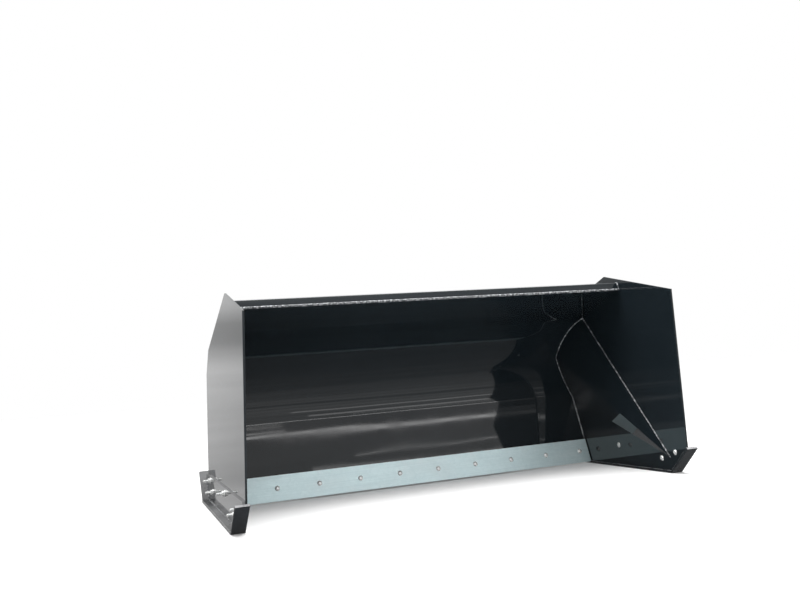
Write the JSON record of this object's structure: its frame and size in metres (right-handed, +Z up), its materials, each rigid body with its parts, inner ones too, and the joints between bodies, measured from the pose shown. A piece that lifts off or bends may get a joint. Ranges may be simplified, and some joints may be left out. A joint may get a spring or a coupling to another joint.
{
  "type": "skid steer bucket",
  "caption": "Wide pusher bucket for a skid steer: curled moldboard, deep side plates, bolt-on cutting edge and skid shoes, and a rear quick attach plate.",
  "frame": {"origin": "on the ground, at the middle of the bucket's width and of its overall length", "axes": "+X along the bucket's width, to the right when facing its open front; -Y out of the open front, +Y towards the loader; +Z up"},
  "size_m": [2.018, 1.3988, 0.927],
  "materials": {
    "black_paint": "glossy blue-black paint",
    "runner_paint": "satin black paint, scuffed",
    "zinc_edge": "zinc plated, satin",
    "zinc_bolts": "zinc plated, bright"
  },
  "bodies": {
    "root": {"moldboard": "black_paint", "top_bar": "black_paint", "left_side_plate": "black_paint", "right_side_plate": "black_paint", "left_corner_gusset": "black_paint", "right_corner_gusset": "black_paint", "base_edge": "black_paint", "lower_cross_tube": "black_paint", "outer_left_rib": "black_paint", "inner_left_rib": "black_paint", "inner_right_rib": "black_paint", "outer_right_rib": "black_paint", "quick_attach_plate": "black_paint", "quick_attach_top_lip": "black_paint", "quick_attach_bottom_flange": "black_paint", "quick_attach_left_guard": "black_paint", "quick_attach_right_guard": "black_paint", "left_shoe_web": "black_paint", "right_shoe_web": "black_paint", "left_shoe_runner": "runner_paint", "right_shoe_runner": "runner_paint", "cutting_edge": "zinc_edge", "edge_bolts": "zinc_bolts", "edge_washers": "zinc_bolts", "edge_nuts": "zinc_bolts", "left_shoe_bolts": "zinc_bolts", "right_shoe_bolts": "zinc_bolts", "left_shoe_washers": "zinc_bolts", "right_shoe_washers": "zinc_bolts", "left_shoe_nuts": "zinc_bolts", "right_shoe_nuts": "zinc_bolts"}
  },
  "joints": []
}
